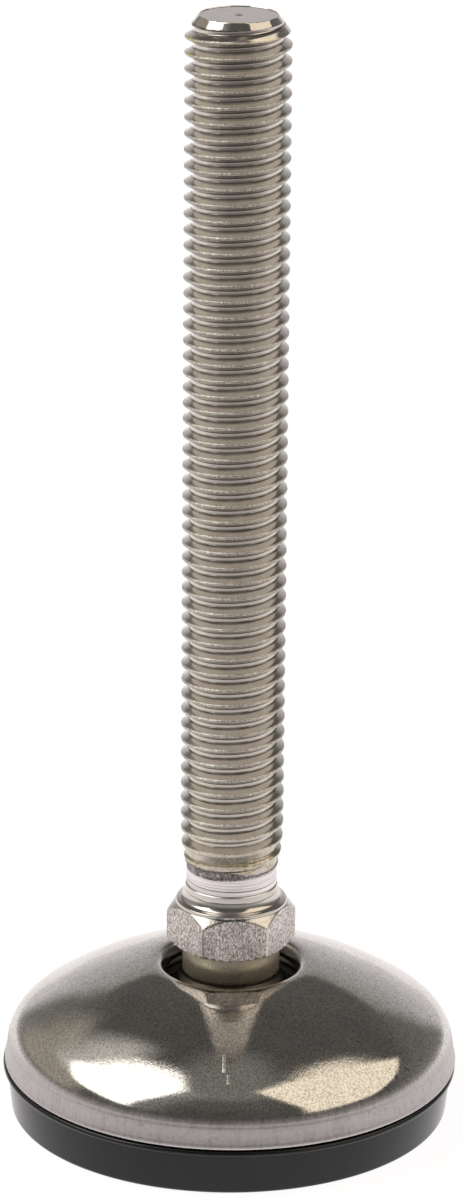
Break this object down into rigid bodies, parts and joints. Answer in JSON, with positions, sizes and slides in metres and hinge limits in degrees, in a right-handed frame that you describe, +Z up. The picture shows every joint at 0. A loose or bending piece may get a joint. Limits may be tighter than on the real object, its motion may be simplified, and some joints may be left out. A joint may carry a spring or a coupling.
{
  "type": "furniture levelling foot",
  "caption": "Levelling foot: threaded stud with a hexagon and ball end, swivelling in a pressed steel dome base on a rubber pad.",
  "frame": {"origin": "centre of the rubber pad's underside, on the floor", "axes": "+Z up along the stud, towards its free end; -Y is the front, where a flat of the hexagon faces"},
  "size_m": [0.0436, 0.0436, 0.1069],
  "materials": {
    "stud_steel": "rolled thread, bright with a warm tint",
    "hex_steel": "matt drawn flats, turned cone and neck polished",
    "dome_steel": "fine satin, brushed rim",
    "inner_steel": "zinc plated",
    "spring_steel": "oiled spring steel",
    "liner_plastic": "moulded black acetal",
    "pad_rubber": "smooth moulded, slightly glossy"
  },
  "bodies": {
    "base": {"dome_shell": "dome_steel", "crown_ring": "inner_steel", "socket_plate": "inner_steel", "wave_spring": "spring_steel", "retaining_ring": "spring_steel", "rubber_pad": "pad_rubber"},
    "cup": {"lower_ball_cup": "liner_plastic"},
    "seat": {"upper_ball_seat": "liner_plastic"},
    "stud": {"threaded_spindle": "stud_steel", "hex_ball_end": "hex_steel"}
  },
  "joints": [
    {"name": "tilt_x", "type": "hinge", "parent": "base", "child": "cup", "pos_m": [0, 0, 0.0085], "axis": [1, 0, 0], "range_deg": [-9, 9]},
    {"name": "tilt_y", "type": "hinge", "parent": "cup", "child": "seat", "pos_m": [0, 0, 0.0085], "axis": [0, 1, 0], "range_deg": [-9, 9]},
    {"name": "stud_turn", "type": "hinge", "parent": "seat", "child": "stud", "pos_m": [0, 0, 0.0085], "axis": [0, 0, 1], "continuous": true}
  ]
}
